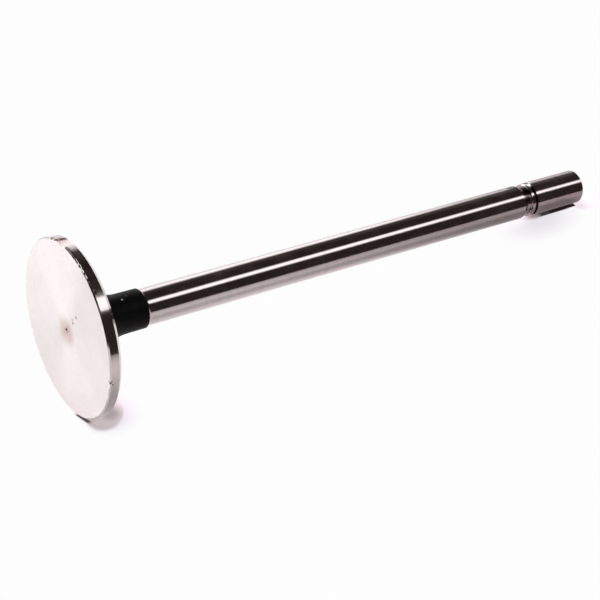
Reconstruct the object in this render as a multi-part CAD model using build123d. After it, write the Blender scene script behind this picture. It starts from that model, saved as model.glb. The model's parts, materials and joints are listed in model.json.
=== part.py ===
# Inlet valve of a heavy diesel engine: one turned and ground steel forging.
# Millimetres. Z is the valve's axis, the flat combustion face lies at Z = 0 and
# the tip that the rocker pushes points up. The origin is the centre of the face.

from build123d import *
from math import radians, tan
import os

# Head
headDia = 46.0          # outside of the margin
edgeChamfer = 0.35      # broken edge between the face and the margin
marginHeight = 2.2      # ground cylindrical band around the head
seatWidth = 0.85        # seat cone, measured along the radius
seatAngle = 45.0        # seat cone, degrees from the plane of the face
undersideAngle = 10.0   # back of the head, degrees from the plane of the face
neckFillet = 10.0       # large radius that carries the head into the neck
centreDia = 1.3         # mark left by the lathe centre in the face
centreAngle = 90.0      # included angle of that mark

# Neck, left as forged
neckProud = 0.38        # how far the neck stands outside the ground stem
neckFlare = 0.15        # further growth of the radius down to the head
neckTop = 20.3          # height above the face where grinding starts
runOut = 0.8            # length of the hollow left by the edge of the wheel

# Stem and tip, ground
stemDia = 9.52
overallLength = 163.0
tipLength = 17.05       # plain end above the grooves, with its chamfer
tipChamfer = 0.4
stemChamfer = 0.15      # broken edge where the stem meets the keeper groove

# Grooves, all depths taken below the stem
ringGrooveWidth = 0.75  # narrow groove for the safety ring, next to the tip
ringGrooveDepth = 0.45
beadWidth = 0.95        # raised bead between the two grooves
beadDrop = 0.12
beadRound = 0.13        # rounding of the bead's two edges
keeperGrooveWidth = 2.75
keeperGrooveDepth = 0.75
keeperCorner = 0.26     # fillet in the two bottom corners of the keeper groove
cornerShare = 0.62      # most of the bead's wall that such a fillet may take
roundShare = 0.35       # most of the bead's wall that a rounding may take


def corner(outline, radius, height):
    """The corner of the outline that lies nearest to a radius and a height."""
    return outline.vertices().sort_by_distance(Vector(radius, height))[0]


headRadius = headDia / 2
stemRadius = stemDia / 2
centreDepth = centreDia / 2 / tan(radians(centreAngle / 2))

seatStart = edgeChamfer + marginHeight
seatInner = headRadius - seatWidth
seatEnd = seatStart + seatWidth * tan(radians(seatAngle))

neckRadius = stemRadius + neckProud
rootRadius = neckRadius + neckFlare
rootHeight = seatEnd + (seatInner - rootRadius) * tan(radians(undersideAngle))

tipStart = overallLength - tipLength
beadEnd = tipStart - ringGrooveWidth
beadStart = beadEnd - beadWidth
stemEnd = beadStart - keeperGrooveWidth

keeperRadius = stemRadius - keeperGrooveDepth
beadRadius = stemRadius - beadDrop
ringRadius = stemRadius - ringGrooveDepth

# Half section of the whole valve: X is the radius, Y is the height on the axis.
with BuildSketch() as halfSection:
    with BuildLine():
        head = Polyline(
            (0, overallLength),
            (0, centreDepth),
            (centreDia / 2, 0),
            (headRadius - edgeChamfer, 0),
            (headRadius, edgeChamfer),
            (headRadius, seatStart),
            (seatInner, seatEnd),
            (rootRadius, rootHeight),
            (neckRadius, neckTop),
        )
        # hollow run-out of the grinding wheel, tangent to the stem
        TangentArc((stemRadius, neckTop + runOut), head @ 1, tangent=(0, -1))
        Polyline(
            (stemRadius, neckTop + runOut),
            (stemRadius, stemEnd - stemChamfer),
            (stemRadius - stemChamfer, stemEnd),
            (keeperRadius, stemEnd),
            (keeperRadius, beadStart),
            (beadRadius, beadStart),
            (beadRadius, beadEnd),
            (ringRadius, beadEnd),
            (ringRadius, tipStart),
            (stemRadius, tipStart),
            (stemRadius, overallLength - tipChamfer),
            (stemRadius - tipChamfer, overallLength),
            (0, overallLength),
        )
    make_face()
    fillet(corner(halfSection, rootRadius, rootHeight), neckFillet)
    # the walls of the shallow grooves leave little room for their roundings
    beadWall = beadRadius - keeperRadius
    for height in (stemEnd, beadStart):
        fillet(corner(halfSection, keeperRadius, height), min(keeperCorner, cornerShare * beadWall))
    for height in (beadStart, beadEnd):
        fillet(corner(halfSection, beadRadius, height), min(beadRound, roundShare * beadWall))

valve = revolve(Plane.XZ * halfSection.sketch, axis=Axis.Z)
valve.label = "valve"

os.makedirs("parts", exist_ok=True)
export_step(valve, "parts/valve.step")

box = valve.bounding_box().size
print("length", round(box.Z, 3), "head", round(box.X, 3))
print("mass at 7.8 g/cm3", round(valve.volume * 7.8e-3, 1), "g")
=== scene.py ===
import json
from math import atan2, cos, hypot, radians, sin, tan

import bpy
from mathutils import Matrix, Quaternion, Vector


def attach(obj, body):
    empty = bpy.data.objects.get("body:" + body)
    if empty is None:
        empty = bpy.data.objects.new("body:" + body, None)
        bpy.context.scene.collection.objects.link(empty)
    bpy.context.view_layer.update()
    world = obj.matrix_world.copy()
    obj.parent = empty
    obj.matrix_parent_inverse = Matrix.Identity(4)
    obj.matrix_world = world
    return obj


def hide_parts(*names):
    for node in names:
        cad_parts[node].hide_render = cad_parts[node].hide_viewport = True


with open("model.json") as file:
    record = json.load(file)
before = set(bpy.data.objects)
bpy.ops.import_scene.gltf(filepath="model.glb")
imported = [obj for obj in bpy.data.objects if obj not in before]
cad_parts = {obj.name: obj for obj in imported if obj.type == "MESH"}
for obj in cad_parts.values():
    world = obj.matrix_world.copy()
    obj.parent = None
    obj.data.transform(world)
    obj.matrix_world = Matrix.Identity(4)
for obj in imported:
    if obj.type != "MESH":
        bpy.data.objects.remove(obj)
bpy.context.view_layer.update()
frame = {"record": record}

# An engine valve in ground and turned steel, lying on a pale table with its head on the rim.
# Lengths are metres, apart from the valve's shape, marks, chips and limits, which are millimetres.
# The valve's axis is Z, the combustion face lies at z = 0. Azimuths are degrees from -Y towards +X.

millimetre = 0.001
scene = bpy.context.scene
mounts = {mount["name"]: mount for mount in frame["record"]["mounts"]}


def dropSelection():
    if bpy.context.object and bpy.context.object.mode != "OBJECT":
        bpy.ops.object.mode_set(mode="OBJECT")
    bpy.ops.object.select_all(action="DESELECT")


def onCircle(azimuth, radius):
    return Vector((radius * sin(radians(azimuth)), -radius * cos(radians(azimuth)), 0))


def selectWhere(piece, kind, wanted):
    # wanted is a test on a face's centre or a vertex's place; the piece is left in edit mode
    bpy.ops.object.mode_set(mode="EDIT")
    bpy.ops.mesh.select_mode(type=kind)
    bpy.ops.mesh.select_all(action="DESELECT")
    bpy.ops.object.mode_set(mode="OBJECT")
    faces = kind == "FACE"
    for item in piece.data.polygons if faces else piece.data.vertices:
        item.select = wanted(item.center if faces else item.co)
    bpy.ops.object.mode_set(mode="EDIT")


def startChain(name, x, y, z):
    # a plane merged to a single vertex, which is left selected in edit mode
    dropSelection()
    bpy.ops.mesh.primitive_plane_add(size=millimetre, location=(x, y, z))
    bpy.ops.object.transform_apply(location=True, rotation=True, scale=True)
    piece = bpy.context.object
    piece.name = name
    bpy.ops.object.mode_set(mode="EDIT")
    bpy.ops.mesh.select_mode(type="VERT")
    bpy.ops.mesh.select_all(action="SELECT")
    bpy.ops.mesh.merge(type="CENTER")
    return piece


def addNode(tree, kind, inputs=None, **settings):
    node = tree.nodes.new("ShaderNode" + kind)
    for name, value in settings.items():
        setattr(node, name, value)
    for name, value in (inputs or {}).items():
        if isinstance(value, bpy.types.NodeSocket):
            tree.links.new(value, node.inputs[name])
        else:
            node.inputs[name].default_value = value
    return node


def calc(tree, operation, first, second=0.5):
    return addNode(tree, "Math", {0: first, 1: second}, operation=operation).outputs[0]


def spread(tree, value, low, high, toLow=0.0, toHigh=1.0):
    # maps low..high to toLow..toHigh with soft ends
    inputs = {"Value": value, "From Min": low, "From Max": high, "To Min": toLow, "To Max": toHigh}
    return addNode(tree, "MapRange", inputs, interpolation_type="SMOOTHSTEP").outputs[0]


def blend(tree, amount, first, second):
    # sockets 6 and 7 and output 2 are the colour ones of this node
    return addNode(tree, "Mix", {0: amount, 6: first, 7: second}, data_type="RGBA").outputs[2]


def noise(tree, place, scale, detail=2.0, roughness=0.5):
    inputs = {"Vector": place, "Scale": scale, "Detail": detail, "Roughness": roughness}
    return addNode(tree, "TexNoise", inputs).outputs["Fac"]


def stretched(tree, place, across, along):
    return addNode(tree, "Mapping", {"Vector": place, "Scale": (across, across, along)}).outputs[0]


def vectorMath(tree, operation, first, second=(0, 0, 0), output="Vector"):
    return addNode(tree, "VectorMath", {0: first, 1: second}, operation=operation).outputs[output]


# a mark's full and faded part and the wander of its border are shares of its radius
markLook = {"full": 0.7, "faded": 1.5, "wander": 0.9, "wanderPerMetre": 2600.0}


def addMarks(tree, place, colour, marks):
    # small stains and chips, each with its place, radius and colour
    ragged = noise(tree, place, markLook["wanderPerMetre"])
    for spot, size, tint in marks:
        radius = size * millimetre
        away = vectorMath(tree, "DISTANCE", place, Vector(spot) * millimetre, "Value")
        border = calc(tree, "ADD", away, calc(tree, "MULTIPLY", ragged, markLook["wander"] * radius))
        amount = spread(tree, border, markLook["full"] * radius, markLook["faded"] * radius, 1.0, 0.0)
        colour = blend(tree, amount, colour, tint)
    return colour


def addMaterial(name):
    material = bpy.data.materials.new(name)
    material.use_nodes = True
    return material, material.node_tree


def addPlane(name, size, place, turn=(0, 0, 0)):
    bpy.ops.mesh.primitive_plane_add(size=size, location=place, rotation=turn)
    plane = bpy.context.object
    plane.name = name
    return plane


def startMetal(name, look):
    # constant values go straight on the shader's own sockets
    material, tree = addMaterial(name)
    shader = tree.nodes["Principled BSDF"]
    shader.inputs["Metallic"].default_value = look.get("metallic", 1.0)
    shader.inputs["IOR"].default_value = look.get("ior", 1.5)
    shader.inputs["Anisotropic"].default_value = look.get("anisotropic", 0.0)
    if look.get("anisotropic", 0.0) > 0:
        around = addNode(tree, "Tangent", direction_type="RADIAL", axis="Z")
        tree.links.new(around.outputs[0], shader.inputs["Tangent"])
        shader.inputs["Anisotropic Rotation"].default_value = look.get("anisotropicTurn", 0.0)
    place = addNode(tree, "TexCoord").outputs["Object"]
    return material, tree, shader, place


def feed(tree, socket, source):
    tree.links.new(source, socket)


def feedRoughness(tree, shader, grit, look):
    least = look["roughness"]
    rough = spread(tree, grit, *look["roughEnds"], least, least + look["roughnessSpread"])
    feed(tree, shader.inputs["Roughness"], rough)


def addBump(tree, shader, height, strength, relief):
    # relief is the height of the bumps in metres
    bump = addNode(tree, "Bump", {"Height": height, "Strength": strength, "Distance": relief})
    feed(tree, shader.inputs["Normal"], bump.outputs[0])


groundLook = {
    "colour": (0.475, 0.432, 0.428, 1), "darker": (0.43, 0.388, 0.385, 1),
    "roughness": 0.13, "roughnessSpread": 0.04,
    "anisotropic": 0.9, "anisotropicTurn": 0.25,
    # noise cells for each metre along the axis and across it
    "linesPerMetre": 5200.0, "linesAcross": 90, "bandsPerMetre": 700, "bandsAcross": 30,
    "patchesPerMetre": 60.0, "smearsPerMetre": 160, "smearsAcross": 420,
    "toneEnds": (0.35, 0.65), "smearEnds": (0.42, 0.72), "bandShare": 0.6, "roughEnds": (0.5, 1.1),
    "lineDepth": 0.12, "lineRelief": 0.00002, "haze": 0.03, "marks": (),
}
stemMarks = (
    ((-2.01, -4.31, 136.35), 0.8, (0.03, 0.02, 0.018, 1)), ((-1.7, -4.45, 134.2), 0.4, (0.06, 0.04, 0.03, 1)),
    ((-1.6, -4.48, 139.6), 1.7, (0.08, 0.07, 0.065, 1)), ((-0.9, -4.67, 141.0), 1.2, (0.06, 0.05, 0.045, 1)))
rimMarks = (
    ((-4.3, -22.6, 1.1), 1.4, (0.42, 0.30, 0.31, 1)), ((-9.0, -21.15, 0.2), 0.9, (0.16, 0.14, 0.12, 1)),
    ((-6.72, -22.0, 0.3), 1.1, (0.15, 0.08, 0.05, 1)), ((-6.45, -22.08, 0.9), 1.4, (0.16, 0.07, 0.035, 1)),
    ((-6.15, -22.16, 1.5), 1.3, (0.15, 0.07, 0.04, 1)), ((-5.6, -22.31, 2.1), 0.9, (0.15, 0.09, 0.06, 1)),
    ((22.95, 0.7, 0.25), 0.45, (0.05, 0.04, 0.04, 1)), ((22.99, 1.25, 0.75), 0.35, (0.05, 0.04, 0.04, 1)))
# darker patches on the keeper groove's floor; the row at z 142.3 is painted shade along the stem end's
# corner, and the white mark on that corner is a painted glint
groovePatchesShadeAndGlint = (
    ((-0.4, -4.1, 143.5), 1.6, (0.05, 0.04, 0.04, 1)), ((1.5, -3.9, 143.6), 2.2, (0.04, 0.03, 0.03, 1)),
    ((3.0, -2.8, 143.0), 1.6, (0.07, 0.055, 0.055, 1)), ((4.15, 0.65, 143.9), 0.7, (0.08, 0.07, 0.07, 1)),
    ((3.5, -2.0, 142.3), 0.8, (0.05, 0.04, 0.04, 1)), ((3.9, -0.9, 142.3), 0.8, (0.05, 0.04, 0.04, 1)),
    ((4.0, 0.3, 142.3), 0.8, (0.05, 0.04, 0.04, 1)), ((0.3, -4.1, 142.3), 0.8, (1.0, 0.97, 0.96, 1)))
# painted highlights: white patches on the bead, in the ring groove and at the start of the tip
beadPaintedHighlights = (
    ((-1.2, -4.4, 144.8), 1.5, (1.0, 0.97, 0.96, 1)), ((-0.2, -4.6, 145.3), 1.3, (1.0, 0.97, 0.96, 1)),
    ((-1.4, -4.2, 146.0), 1.5, (1.0, 0.97, 0.96, 1)))
# a row of painted dark reflection along a stretch of the head's broken edge
paintedEdgeReflection = {
    "azimuths": range(-3, 9, 2), "radius": 22.82, "height": 0.17,
    "size": 0.9, "colour": (0.09, 0.075, 0.06, 1),
}


def markEdge(paintedRow):
    marks = ()
    for azimuth in paintedRow["azimuths"]:
        place = onCircle(azimuth, paintedRow["radius"]) + Vector((0, 0, paintedRow["height"]))
        marks += ((place, paintedRow["size"], paintedRow["colour"]),)
    return marks


def groundSteel(name, **changes):
    # fine grinding lines run round the axis
    look = dict(groundLook, **changes)
    material, tree, shader, place = startMetal(name, look)
    fine = noise(tree, stretched(tree, place, look["linesAcross"], look["linesPerMetre"]), 1.0, 3.0, 0.6)
    broad = noise(tree, stretched(tree, place, look["bandsAcross"], look["bandsPerMetre"]), 1.0)
    blotches = noise(tree, place, look["patchesPerMetre"], 3.0)
    tone = calc(tree, "ADD", calc(tree, "MULTIPLY", broad, 0.5), calc(tree, "MULTIPLY", blotches, 0.5))
    colour = blend(tree, spread(tree, tone, *look["toneEnds"]), look["darker"], look["colour"])
    feed(tree, shader.inputs["Base Color"], addMarks(tree, place, colour, look["marks"]))
    smears = noise(tree, stretched(tree, place, look["smearsAcross"], look["smearsPerMetre"]), 1.0, 4.0, 0.6)
    feed(tree, shader.inputs["Metallic"], spread(tree, smears, *look["smearEnds"], 1.0, 1.0 - look["haze"]))
    grit = calc(tree, "ADD", fine, calc(tree, "MULTIPLY", broad, look["bandShare"]))
    feedRoughness(tree, shader, grit, look)
    addBump(tree, shader, fine, look["lineDepth"], look["lineRelief"])
    return material


faceLook = {
    "colour": (0.81, 0.765, 0.76, 1), "darker": (0.765, 0.72, 0.715, 1),
    "roughness": 0.25, "roughnessSpread": 0.03,
    "anisotropic": 0.9, "anisotropicTurn": 0.25,
    "ringsPerMetre": 9000.0, "ringDepth": 0.03, "ringRelief": 0.00002, "wideRingsPerMetre": 500.0,
    "cloudsPerMetre": 90.0, "ringShare": 0.1, "cloudShare": 0.9,
    "toneEnds": (0.32, 0.62), "roughEnds": (0.3, 0.7),
    # a wide tan halo, the burnt stain in it and the lathe centre: colour, middle, radius of the full
    # and of the faded part, strength; their borders wander by a share of the full radius
    "blots": (
        ((0.55, 0.49, 0.43, 1), (0.0000, 0.0005, 0), 0.0014, 0.0052, 0.80),
        ((0.62, 0.40, 0.42, 1), (0.0009, 0.0006, 0), 0.0002, 0.0038, 0.92),
        ((0.28, 0.15, 0.15, 1), (0.0003, 0.0003, 0), 0.0001, 0.0011, 0.80)),
    "wander": 12 / 11, "wanderPerMetre": 520.0,
    "marks": (
        ((4.96, -6.60, 0), 0.60, (0.22, 0.20, 0.18, 1)), ((3.45, -4.00, 0), 0.55, (0.24, 0.21, 0.20, 1)),
        ((3.05, -4.85, 0), 0.45, (0.30, 0.27, 0.25, 1)),
        ((22.4, 0.6, 0), 0.40, (0.07, 0.06, 0.06, 1))),
}


def ringNoise(tree, radius, perMetre, detail=2.0, roughness=0.5):
    place = addNode(tree, "CombineXYZ", {"X": calc(tree, "MULTIPLY", radius, perMetre)}).outputs[0]
    return noise(tree, place, 1.0, detail, roughness)


def turnedFace(name):
    look = faceLook
    material, tree, shader, place = startMetal(name, look)
    flat = vectorMath(tree, "MULTIPLY", place, (1, 1, 0))
    radius = vectorMath(tree, "LENGTH", flat, output="Value")
    rings = ringNoise(tree, radius, look["ringsPerMetre"], 3.0, 0.6)
    wide = ringNoise(tree, radius, look["wideRingsPerMetre"])
    cloud = noise(tree, flat, look["cloudsPerMetre"], 4.0, 0.55)
    tone = calc(tree, "ADD", calc(tree, "MULTIPLY", wide, look["ringShare"]),
        calc(tree, "MULTIPLY", cloud, look["cloudShare"]))
    colour = blend(tree, spread(tree, tone, *look["toneEnds"]), look["darker"], look["colour"])
    ragged = calc(tree, "SUBTRACT", noise(tree, flat, look["wanderPerMetre"], 3.0), 0.5)
    for tint, middle, near, far, strength in look["blots"]:
        away = vectorMath(tree, "DISTANCE", flat, middle, "Value")
        away = calc(tree, "ADD", away, calc(tree, "MULTIPLY", ragged, look["wander"] * near))
        colour = blend(tree, spread(tree, away, near, far, strength, 0.0), colour, tint)
    colour = addMarks(tree, flat, colour, look["marks"])
    feed(tree, shader.inputs["Base Color"], colour)
    feedRoughness(tree, shader, rings, look)
    addBump(tree, shader, rings, look["ringDepth"], look["ringRelief"])
    return material


forgedLook = {
    "colour": (0.0018, 0.0017, 0.0017, 1), "lighter": (0.005, 0.0048, 0.0048, 1),
    "bare": (0.09, 0.085, 0.08, 1),
    "metallic": 0.0, "ior": 1.16, "roughness": 0.42, "roughnessSpread": 0.18,
    "grainsPerMetre": 1500.0, "grainDepth": 0.5, "grainRelief": 0.00006, "blotchesPerMetre": 160.0,
    "blotchEnds": (0.4, 0.7), "bareEnds": (0.72, 0.78), "roughEnds": (0.3, 0.7),
    "marks": (
        ((1.12, -5.25, 14.55), 0.34, (0.60, 0.58, 0.55, 1)), ((0.2, -5.3, 16.1), 0.2, (0.25, 0.25, 0.24, 1))),
}


def forgedScale(name):
    look = forgedLook
    material, tree, shader, place = startMetal(name, look)
    grains = noise(tree, place, look["grainsPerMetre"], 4.0, 0.6)
    blotches = noise(tree, place, look["blotchesPerMetre"], 3.0)
    colour = blend(tree, spread(tree, blotches, *look["blotchEnds"]), look["colour"], look["lighter"])
    colour = blend(tree, spread(tree, grains, *look["bareEnds"]), colour, look["bare"])
    feed(tree, shader.inputs["Base Color"], addMarks(tree, place, colour, look["marks"]))
    feedRoughness(tree, shader, grains, look)
    addBump(tree, shader, grains, look["grainDepth"], look["grainRelief"])
    return material


valveShape = {
    "headRadius": 23.0, "edgeChamfer": 0.35, "marginHeight": 2.2,
    "seatWidth": 0.85, "seatAngle": 45.0, "undersideAngle": 10.0, "neckFillet": 10.0,
    "centreRadius": 0.65, "centreAngle": 90.0,
    "neckProud": 0.38, "neckFlare": 0.15, "neckTop": 20.3, "runOut": 0.8,
    "tipLength": 17.05, "tipChamfer": 0.4, "stemChamfer": 0.15,
    "ringGrooveWidth": 0.75, "ringGrooveDepth": 0.45, "beadWidth": 0.95, "beadDrop": 0.12,
    "keeperGrooveWidth": 2.75, "keeperGrooveDepth": 0.75, "keeperCorner": 0.26, "beadRound": 0.13,
    "forgedShare": 0.30,          # how far the forged skin reaches into the run-out
    "faceShare": 0.4,             # how far the turned face reaches up the head's broken edge
    "ringBelow": 0.05, "ringAbove": 0.01,      # how far the ring groove's painted shade reaches past its ends
    "turnSteps": 360, "smoothAngle": 28,
}


def lineTo(at, radius, height, steps=1):
    # extrudes the last vertex in a straight run and returns its new place
    move = Vector((radius - at.x, 0, height - at.y)) * millimetre / steps
    for _ in range(steps):
        bpy.ops.mesh.extrude_vertices_move(TRANSFORM_OT_translate={"value": move})
    return Vector((radius, height))


def arcRound(at, centre, angle, steps):
    # a positive angle turns the outline to the left of its way
    middle = (centre.x * millimetre, 0, centre.y * millimetre)
    bpy.ops.mesh.spin(steps=steps, angle=angle, center=middle, axis=(0, 1, 0))
    return centre + Matrix.Rotation(angle, 2) @ (at - centre)


def turnValve(shape):
    stemRadius = mounts["stem"]["dims"]["r_mm"]
    length = mounts["tip_end"]["pos_m"][2] / millimetre
    head = shape["headRadius"]
    centreDepth = shape["centreRadius"] / tan(radians(shape["centreAngle"] / 2))
    seatStart = shape["edgeChamfer"] + shape["marginHeight"]
    seatInner = head - shape["seatWidth"]
    seatEnd = seatStart + shape["seatWidth"] * tan(radians(shape["seatAngle"]))
    neckRadius = stemRadius + shape["neckProud"]
    rootRadius = neckRadius + shape["neckFlare"]
    rootHeight = seatEnd + (seatInner - rootRadius) * tan(radians(shape["undersideAngle"]))
    tipStart = length - shape["tipLength"]
    beadEnd = tipStart - shape["ringGrooveWidth"]
    beadStart = beadEnd - shape["beadWidth"]
    stemEnd = beadStart - shape["keeperGrooveWidth"]
    keeper = stemRadius - shape["keeperGrooveDepth"]
    bead = stemRadius - shape["beadDrop"]
    ring = stemRadius - shape["ringGrooveDepth"]

    piece = startChain("engineValve", 0, 0, centreDepth * millimetre)
    at = lineTo(Vector((0, centreDepth)), shape["centreRadius"], 0, steps=3)
    at = lineTo(at, head - shape["edgeChamfer"], 0, steps=44)
    at = lineTo(at, head, shape["edgeChamfer"], steps=3)
    at = lineTo(at, head, seatStart, steps=8)
    at = lineTo(at, seatInner, seatEnd, steps=4)

    # the underside, the large fillet and the slightly flared neck
    root = Vector((rootRadius, rootHeight))
    into = (root - at).normalized()
    out = (Vector((neckRadius, shape["neckTop"])) - root).normalized()
    turn = -into.angle_signed(out)
    at = lineTo(at, *(root - into * shape["neckFillet"] * tan(abs(turn) / 2)), steps=14)
    at = arcRound(at, at + Vector((into.y, -into.x)) * shape["neckFillet"], turn, steps=40)
    at = lineTo(at, neckRadius, shape["neckTop"], steps=36)

    # hollow run-out of the grinding wheel, then the stem
    gap, rise = neckRadius - stemRadius, shape["runOut"]
    hollow = (gap * gap + rise * rise) / (2 * gap)
    at = arcRound(at, Vector((stemRadius + hollow, shape["neckTop"] + rise)), -2 * atan2(gap, rise), steps=6)
    at = lineTo(at, stemRadius, stemEnd - shape["stemChamfer"], steps=16)
    at = lineTo(at, stemRadius - shape["stemChamfer"], stemEnd)

    # keeper groove with filleted bottom corners, then the rounded bead and the ring groove
    corner, rounding, quarter = shape["keeperCorner"], shape["beadRound"], radians(90)
    at = lineTo(at, keeper + corner, stemEnd)
    at = arcRound(at, Vector((keeper + corner, stemEnd + corner)), -quarter, steps=6)
    at = lineTo(at, keeper, beadStart - corner, steps=6)
    at = arcRound(at, Vector((keeper + corner, beadStart - corner)), -quarter, steps=6)
    at = lineTo(at, bead - rounding, beadStart)
    at = arcRound(at, Vector((bead - rounding, beadStart + rounding)), quarter, steps=5)
    at = lineTo(at, bead, beadEnd - rounding, steps=3)
    at = arcRound(at, Vector((bead - rounding, beadEnd - rounding)), quarter, steps=5)
    at = lineTo(at, ring, beadEnd)
    at = lineTo(at, ring, tipStart, steps=3)
    at = lineTo(at, stemRadius, tipStart, steps=2)
    at = lineTo(at, stemRadius, length - shape["tipChamfer"], steps=12)
    at = lineTo(at, stemRadius - shape["tipChamfer"], length, steps=2)
    at = lineTo(at, 0, length, steps=6)

    bpy.ops.mesh.select_all(action="SELECT")
    bpy.ops.mesh.spin(steps=shape["turnSteps"], angle=radians(360), center=(0, 0, 0), axis=(0, 0, 1))
    bpy.ops.mesh.select_all(action="SELECT")
    bpy.ops.mesh.remove_doubles(threshold=millimetre / 1000)
    bpy.ops.mesh.normals_make_consistent(inside=False)
    bpy.ops.object.mode_set(mode="OBJECT")
    limits = {
        "edge": shape["edgeChamfer"], "face": head - shape["edgeChamfer"],
        "faceEnd": shape["edgeChamfer"] * shape["faceShare"],
        "seatStart": seatStart, "seatEnd": seatEnd,
        "forgedEnd": shape["neckTop"] + shape["forgedShare"] * rise,
        "stemEnd": stemEnd, "beadStart": beadStart,
        "ringWall": stemRadius - shape["ringGrooveDepth"] / 2,
        "ringLow": beadEnd - shape["ringBelow"], "ringHigh": tipStart + shape["ringAbove"]}
    return piece, limits


valve, limits = turnValve(valveShape)
print("valve turned:", len(valve.data.vertices), "vertices")

wearLook = {
    "forgedGrain": 0.000014, "grainSeed": 5,
    "clearLow": 0.4, "clearHigh": 0.1,       # millimetres of the neck's two ends that stay smooth
    "chipRadius": 0.5, "chipRise": 0.6,      # the rise is a share of the depth
    # chips in the head's edge, each with its azimuth in whole degrees and its depth
    "chips": (
        (-22, 0.10), (-15, 0.12), (9, 0.06), (11, 0.12), (13, 0.07), (15, 0.16), (16, 0.10), (18, 0.13),
        (21, 0.08), (23, 0.11), (26, 0.07), (34, 0.06), (91, 0.20), (92, 0.12), (95, 0.08), (104, 0.08),
        (118, 0.10), (129, 0.12), (134, 0.16), (137, 0.10), (142, 0.14), (147, 0.12)),
}


def wearValve(piece, look):
    # fine grain on the forged neck, clear of its two borders
    def onForging(at):
        low, high = limits["seatEnd"] + look["clearLow"], limits["forgedEnd"] - look["clearHigh"]
        return low < at.z / millimetre < high

    selectWhere(piece, "VERT", onForging)
    bpy.ops.transform.vertex_random(offset=look["forgedGrain"], seed=look["grainSeed"])
    # each chip presses a step of the head's edge inwards and up
    for azimuth, depth in look["chips"]:
        outward = onCircle(azimuth, 1)
        middle = outward.xy * limits["face"] * millimetre
        selectWhere(piece, "VERT", lambda at: at.z < 2 * limits["edge"] * millimetre
            and (at.xy - middle).length < look["chipRadius"] * millimetre)
        bpy.ops.transform.translate(value=(Vector((0, 0, look["chipRise"])) - outward) * depth * millimetre)
    bpy.ops.object.mode_set(mode="OBJECT")


wearValve(valve, wearLook)
print("valve worn")

# each finish with the part of the valve that it covers, as a test on radius and height in millimetres
finishes = (
    (groundSteel("groundStem", marks=stemMarks),
        None),
    (turnedFace("turnedFace"),
        lambda r, z: z < limits["faceEnd"] and r < limits["face"]),
    # the rim's marks, with the painted dark reflection on its broken edge
    (groundSteel("groundRim", linesPerMetre=3000.0, roughness=0.11, anisotropic=0.7,
        marks=rimMarks + markEdge(paintedEdgeReflection)),
        lambda r, z: z < limits["seatStart"] and (r > limits["face"] or z > limits["edge"])),
    (groundSteel("groundSeat", colour=(0.62, 0.58, 0.575, 1), darker=(0.55, 0.515, 0.51, 1), roughness=0.08),
        lambda r, z: limits["seatStart"] < z < limits["seatEnd"]),
    (forgedScale("forgedNeck"),
        lambda r, z: limits["seatEnd"] < z < limits["forgedEnd"]),
    (groundSteel("turnedGroove", colour=(0.55, 0.48, 0.48, 1), darker=(0.14, 0.12, 0.12, 1),
        roughness=0.20, anisotropic=0.3, marks=groovePatchesShadeAndGlint),
        lambda r, z: limits["stemEnd"] < z < limits["beadStart"]),
    (groundSteel("groundTip", colour=(0.50, 0.43, 0.435, 1), darker=(0.43, 0.365, 0.37, 1),
        marks=beadPaintedHighlights),
        lambda r, z: z > limits["beadStart"]),
    # painted shade: the ring groove's floor is near black, with the painted highlights on it
    (groundSteel("oilyRing", colour=(0.07, 0.055, 0.055, 1), darker=(0.02, 0.015, 0.015, 1),
        anisotropic=0.3, marks=beadPaintedHighlights),
        lambda r, z: limits["ringLow"] < z < limits["ringHigh"] and r < limits["ringWall"]),
)
for number, (material, where) in enumerate(finishes):
    valve.data.materials.append(material)
    if where is None:
        continue
    selectWhere(valve, "FACE", lambda at: where(hypot(at.x, at.y) / millimetre, at.z / millimetre))
    valve.active_material_index = number
    bpy.ops.object.material_slot_assign()
dropSelection()
valve.select_set(True)
bpy.context.view_layer.objects.active = valve
bpy.ops.object.shade_smooth_by_angle(angle=radians(valveShape["smoothAngle"]))
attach(valve, "root")
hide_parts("valve")
print("valve finished")


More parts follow.
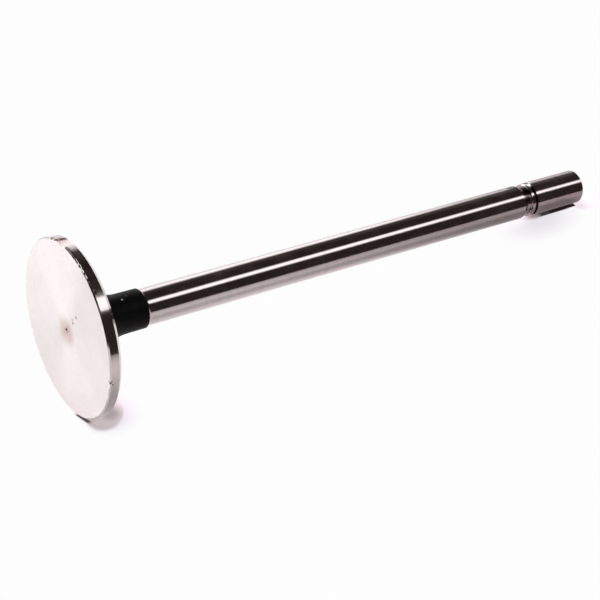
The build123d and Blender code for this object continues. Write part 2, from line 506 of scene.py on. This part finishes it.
studioLook = {
    "white": 0.985,              # backdrop
    "mirrored": 1.0,             # backdrop as the steel reflects it
    "fill": 0.26,                # soft light from all sides
    "keyTowards": (-0.79, -0.60, -0.12), "keyStrength": 3.8, "keyWidth": 34.0,
    "topTowards": (0.30, -0.35, 0.88), "topStrength": 1.9, "topWidth": 40.0,
}
tableLook = {
    "touches": (0, 0.023, 0.00255), "towards": (0, -0.9935, -0.1136), "size": 3.0,
    "right": (0.5403, -0.0956, 0.8361), "rightEdge": 0.168,      # the table ends beyond the tip
    # the table's colour where its shadows show, a lilac tint for their soft borders, and the dark of the
    # painted contact shadows
    "colour": (0.92, 0.765, 0.795, 1), "haloColour": (0.98, 0.70, 1.0, 1), "haloEnds": (0.3, 0.9),
    "creaseColour": (0.075, 0.045, 0.058, 1), "lift": 0.15, "liftColour": (1, 0.97, 0.98, 1),
    # the table as the steel reflects it: its colours on the left, in the middle and on the right,
    # where along the valve each gives way to the next; the right one is darker, a painted shade
    # around the tip, and painted light is added in the middle and on the right
    "leftColour": (0.72, 0.70, 0.70, 1), "mirroredColour": (0.70, 0.64, 0.665, 1),
    "farColour": (0.46, 0.40, 0.42, 1), "tinges": (-0.03, 0.01), "darkens": (0.05, 0.165),
    "mirroredLift": 0.38, "farLift": 0.06,
    # middle (x, z), half sizes, turn in degrees, share at full strength or soft borders, strength
    "shadows": (
        ((0.0086, 0.0067), (0.0075, 0.0058), -28, 0.72, 1.0),
        ((0.0095, 0.0078), (0.0092, 0.0090), 0, 0.20, 0.50),
        ((0.0004, 0.1490), (0.0032, 0.0062), -7, 0.10, 1.0),
        ((0.0036, 0.1665), (0.0040, 0.0060), 0, 0.20, 0.90),
        ((0.0030, 0.1490), (0.0110, 0.0170), 0, 0.10, 0.36)),
    # painted contact shadows: dark under the head's rim and along the tip where it rests on the table, a
    # darker strip beside the stem near the groove and a darker core in the head's shadow
    "creases": (
        ((0.0074, 0.0014), (0.0033, 0.00085), 14.0, (0.0016, 0.0006), 0.96),
        ((0.00122, 0.1584), (0.0018, 0.0047), -6.8, (0.0005, 0.0006), 1.0),
        ((0.0010, 0.1552), (0.0018, 0.0080), -6.8, (0.0005, 0.0045), 0.98),
        ((0.0004, 0.1500), (0.0024, 0.0052), -7, 0.10, 0.60),
        ((0.0093, 0.0080), (0.0046, 0.0042), 0, 0.10, 0.46)),
}
# the floor fades out between two distances from the origin
floorLook = {
    "size": 3.0, "drop": 0.0002, "colour": (0.90, 0.90, 0.90, 1), "lift": 0.24, "fades": (0.04, 0.11),
}
cardLook = {
    "level": 0.55, "dark": (1, 0.75, 0.68, 1), "darkness": 0.039, "steps": 24,
    "slantRoom": 0.25,            # height above the level up to which a card has room for its slant
    # name, distance, height of the lower and upper edge, azimuths, soft borders on the left and right,
    # slant of the right border in degrees per metre above the level, brightness
    "cards": (
        ("blackCardRight", 0.93, -1.5, 1.5, 45, 150, (1, 1), 0, 0.0),
        ("blackCardMiddle", 0.94, -1.5, 1.5, -62, 20, (1, 1), 0, 0.0),
        ("dimCardMiddle", 0.93, -1.5, 1.5, -62, -24, (1, 28), 0, 0.09),
        ("darkCardLeft", 0.94, 0.42, 1.5, -165, -112, (1, 1), 0, 0.10),
        ("dimCardLeft", 0.94, 0.42, 1.5, -112, -62, (34, 10), 0, 0.95),
        ("blackCardLow", 0.92, -1.5, 0.42, 0, 60, (1, 1), 0, 0.0),
        ("stripLightLow", 0.90, -1.5, 0.42, 23.6, 42.2, (2, 1), 0, 2.4),
        ("stripLight", 0.90, 0.42, 1.5, 13.5, 43.9, (13, 13), 9.2, 2.6),
        ("brightCardLeftLow", 0.89, -1.5, 0.42, -150, -80, (5, 18), 0, 3.4),
        ("whiteCardLeftLow", 0.90, -1.5, 0.42, -92, -44.0, (22, 20), 0, 2.05),
        ("whiteCardLeft", 0.90, 0.42, 0.72, -112, -46.0, (34, 22), 22, 2.1)),
    # flat cards across the axis: name, middle, size, brightness
    "ends": (
        ("whiteEndCard", (-0.60, 0.85, 1.55), 1.6, 2.2), ("blackEndCard", (0, 0, 1.6), 3.0, 0.0),
        ("darkEndCard", (0, 0, -1.6), 3.0, 0.0)),
}


def rayIs(tree, *kinds):
    path = addNode(tree, "LightPath")
    total = path.outputs[kinds[0]]
    for kind in kinds[1:]:
        total = calc(tree, "MAXIMUM", total, path.outputs[kind])
    return total


def mixShaders(tree, amount, first, second):
    return addNode(tree, "MixShader", {0: amount, 1: first, 2: second}).outputs[0]


def addShaders(tree, first, second):
    return addNode(tree, "AddShader", {0: first, 1: second}).outputs[0]


def emission(tree, strength, colour=(1, 1, 1, 1)):
    return addNode(tree, "Emission", {"Color": colour, "Strength": strength}).outputs[0]


def diffuse(tree, colour):
    return addNode(tree, "BsdfDiffuse", {"Color": colour}).outputs[0]


def startStage(name):
    # a material without its first nodes, for what only lights, carries or surrounds the valve
    material, tree = addMaterial(name)
    tree.nodes.clear()
    return material, tree


def endStage(tree, surface, kind="Material"):
    addNode(tree, "Output" + kind, {"Surface": surface})


def buildWorld(look):
    world = bpy.data.worlds.new("studio")
    scene.world = world
    world.use_nodes = True
    tree = world.node_tree
    tree.nodes.clear()
    fill, mirrored, backdrop = (
        addNode(tree, "Background", {"Color": (1, 1, 1, 1), "Strength": strength}).outputs[0]
        for strength in (look["fill"], look["mirrored"], look["white"]))
    around = mixShaders(tree, rayIs(tree, "Is Glossy Ray", "Is Transmission Ray"), fill, mirrored)
    endStage(tree, mixShaders(tree, rayIs(tree, "Is Camera Ray"), around, backdrop), "World")


def addSun(name, towards, strength, width):
    bpy.ops.object.light_add(type="SUN", location=Vector(towards))
    lamp = bpy.context.object
    lamp.name = name
    lamp.rotation_euler = Vector(towards).to_track_quat("Z", "Y").to_euler()
    lamp.data.energy = strength
    lamp.data.angle = radians(width)
    lamp.visible_glossy = False
    return lamp


def patches(tree, place, spots):
    # soft ovals and, where softness is a pair, soft bars: each is at full strength in its middle
    total = 0.0
    for (x, z), reach, turn, soft, strength in spots:
        apart = vectorMath(tree, "SUBTRACT", place, (x, 0, z))
        angle = radians(turn)
        ways = ((cos(angle), 0, sin(angle)), (-sin(angle), 0, cos(angle)))
        across, along = (calc(tree, "ABSOLUTE", vectorMath(tree, "DOT_PRODUCT", apart, way, "Value"))
            for way in ways)
        if isinstance(soft, tuple):
            shape = calc(tree, "MULTIPLY", spread(tree, across, reach[0] - soft[0], reach[0], strength, 0.0),
                spread(tree, along, reach[1] - soft[1], reach[1], 1.0, 0.0))
        else:
            across, along = calc(tree, "DIVIDE", across, reach[0]), calc(tree, "DIVIDE", along, reach[1])
            away = calc(tree, "SQRT", calc(tree, "ADD", calc(tree, "MULTIPLY", across, across),
                calc(tree, "MULTIPLY", along, along)))
            shape = spread(tree, away, soft, 1.0, strength, 0.0)
        total = calc(tree, "MAXIMUM", total, shape)
    return total


def mirroredTable(tree, look, along):
    # colour of the table as the steel reflects it, darker towards the tip as painted shade, and the painted
    # light added to it
    near = blend(tree, spread(tree, along, *look["tinges"]), look["leftColour"], look["mirroredColour"])
    colour = blend(tree, spread(tree, along, *look["darkens"]), near, look["farColour"])
    lift = spread(tree, along, *look["darkens"], look["mirroredLift"], look["farLift"])
    return colour, calc(tree, "MULTIPLY", lift, rayIs(tree, "Is Glossy Ray"))


def tableMaterial(look, right):
    # seen directly it is white outside the shadows, and painted contact shadows darken it; right is the way
    # along the table
    material, tree = startStage("paleTable")
    geometry = addNode(tree, "NewGeometry").outputs
    seen = rayIs(tree, "Is Camera Ray")
    shadow = patches(tree, geometry["Position"], look["shadows"])
    # painted contact shadows, which only the camera sees
    paintedShadow = calc(tree, "MULTIPLY", seen, patches(tree, geometry["Position"], look["creases"]))
    along = vectorMath(tree, "DOT_PRODUCT", geometry["Position"], right, "Value")
    mirrored, mirroredLift = mirroredTable(tree, look, along)
    tinted = blend(tree, spread(tree, shadow, *look["haloEnds"]), look["haloColour"], look["colour"])
    colour = blend(tree, paintedShadow, blend(tree, seen, mirrored, tinted), look["creaseColour"])
    lift = calc(tree, "MULTIPLY", calc(tree, "MULTIPLY", seen, look["lift"]),
        calc(tree, "SUBTRACT", 1.0, paintedShadow))
    lit = addShaders(tree, diffuse(tree, colour),
        emission(tree, calc(tree, "ADD", lift, mirroredLift), look["liftColour"]))
    shown = calc(tree, "MAXIMUM", calc(tree, "MAXIMUM", shadow, paintedShadow), calc(tree, "SUBTRACT", 1.0, seen))
    surface = mixShaders(tree, shown, emission(tree, studioLook["white"]), lit)
    clear = addNode(tree, "BsdfTransparent").outputs[0]
    endStage(tree, mixShaders(tree, geometry["Backfacing"], surface, clear))
    return material


def addTable(look):
    # pale table that the valve lies on; it shows only from its upper side
    up, right = Vector(look["towards"]).normalized(), Vector(look["right"]).normalized()
    turned = Matrix((right, up.cross(right), up)).transposed().to_quaternion()
    middle = Vector(look["touches"]) + right * (look["rightEdge"] - look["size"] / 2)
    table = addPlane("paleTable", look["size"], middle, turned.to_euler())
    table.data.materials.append(tableMaterial(look, right))
    table.visible_shadow = False
    table.visible_diffuse = False


def addFloor(look):
    # floor that the valve stands on when it is seen from above
    floor = addPlane("paleFloor", look["size"], (0, 0, -look["drop"]))
    material, tree = startStage("paleFloor")
    lift = calc(tree, "MULTIPLY", rayIs(tree, "Is Camera Ray"), look["lift"])
    surface = addShaders(tree, diffuse(tree, look["colour"]), emission(tree, lift))
    geometry = addNode(tree, "NewGeometry").outputs
    away = vectorMath(tree, "LENGTH", geometry["Position"], output="Value")
    hidden = calc(tree, "MAXIMUM", spread(tree, away, *look["fades"]), geometry["Backfacing"])
    clear = addNode(tree, "BsdfTransparent").outputs[0]
    endStage(tree, mixShaders(tree, hidden, surface, clear))
    floor.data.materials.append(material)
    floor.visible_shadow = False
    floor.visible_diffuse = False
    floor.visible_glossy = False


def hideCard(card):
    # cards show only in what reflects them
    card.visible_camera = False
    card.visible_diffuse = False
    card.visible_shadow = False


def glow(name, look, strength, start=0.0, end=0.0, soft=(), slant=0.0):
    # where it fades towards the card's two sides the dark of the black cards is left
    material, tree = startStage(name)
    shine = strength
    if soft:
        place = addNode(tree, "SeparateXYZ", {0: addNode(tree, "TexCoord").outputs["Object"]}).outputs
        azimuth = calc(tree, "ARCTAN2", place["X"], calc(tree, "MULTIPLY", place["Y"], -1.0))
        height = calc(tree, "SUBTRACT", place["Z"], look["level"])
        lean = calc(tree, "ADD", azimuth, calc(tree, "MULTIPLY", height, radians(slant)))
        rising = spread(tree, azimuth, radians(start), radians(start + soft[0]))
        falling = spread(tree, lean, radians(end - soft[1]), radians(end), strength, 0.0)
        shine = calc(tree, "MULTIPLY", rising, falling)
    dark = emission(tree, look["darkness"], look["dark"])
    endStage(tree, addShaders(tree, dark, emission(tree, shine)))
    return material


def addCard(look, name, distance, low, high, start, end, soft, slant, strength):
    # a curved card that stands round the valve, wide enough for its slanted border
    foot = onCircle(start, distance)
    width = end + look["slantRoom"] * slant - start
    card = startChain(name, foot.x, foot.y, low)
    bpy.ops.mesh.extrude_vertices_move(TRANSFORM_OT_translate={"value": (0, 0, high - low)})
    bpy.ops.mesh.select_all(action="SELECT")
    bpy.ops.mesh.spin(steps=look["steps"], angle=-radians(width), center=(0, 0, 0), axis=(0, 0, 1))
    bpy.ops.object.mode_set(mode="OBJECT")
    card.data.materials.append(glow(name, look, strength, start, end, soft, slant))
    hideCard(card)


def addEndCard(look, name, middle, size, strength):
    card = addPlane(name, size, middle)
    card.data.materials.append(glow(name, look, strength))
    hideCard(card)


buildWorld(studioLook)
addSun("keyLight", studioLook["keyTowards"], studioLook["keyStrength"], studioLook["keyWidth"])
addSun("topLight", studioLook["topTowards"], studioLook["topStrength"], studioLook["topWidth"])
addTable(tableLook)
addFloor(floorLook)
for card in cardLook["cards"]:
    addCard(cardLook, *card)
for card in cardLook["ends"]:
    addEndCard(cardLook, *card)
print("studio built")


cameraPlace = {
    "location": (0.299468, -0.248173, -0.153751), "aim": (-0.00301, 0.01495, 0.07180),
    "roll": 73.593, "lens": 102.0, "sensor": 36.0, "nearest": 0.01,
}


def addCamera(look):
    bpy.ops.object.camera_add(location=look["location"])
    camera = bpy.context.object
    camera.name = "productCamera"
    looking = (Vector(look["aim"]) - Vector(look["location"])).to_track_quat("-Z", "Y")
    camera.rotation_euler = (looking @ Quaternion((0, 0, 1), radians(look["roll"]))).to_euler()
    camera.data.lens = look["lens"]
    camera.data.sensor_width = look["sensor"]
    camera.data.clip_start = look["nearest"]
    scene.camera = camera


dropSelection()
addCamera(cameraPlace)
scene.view_settings.view_transform = "Standard"
print("camera set")
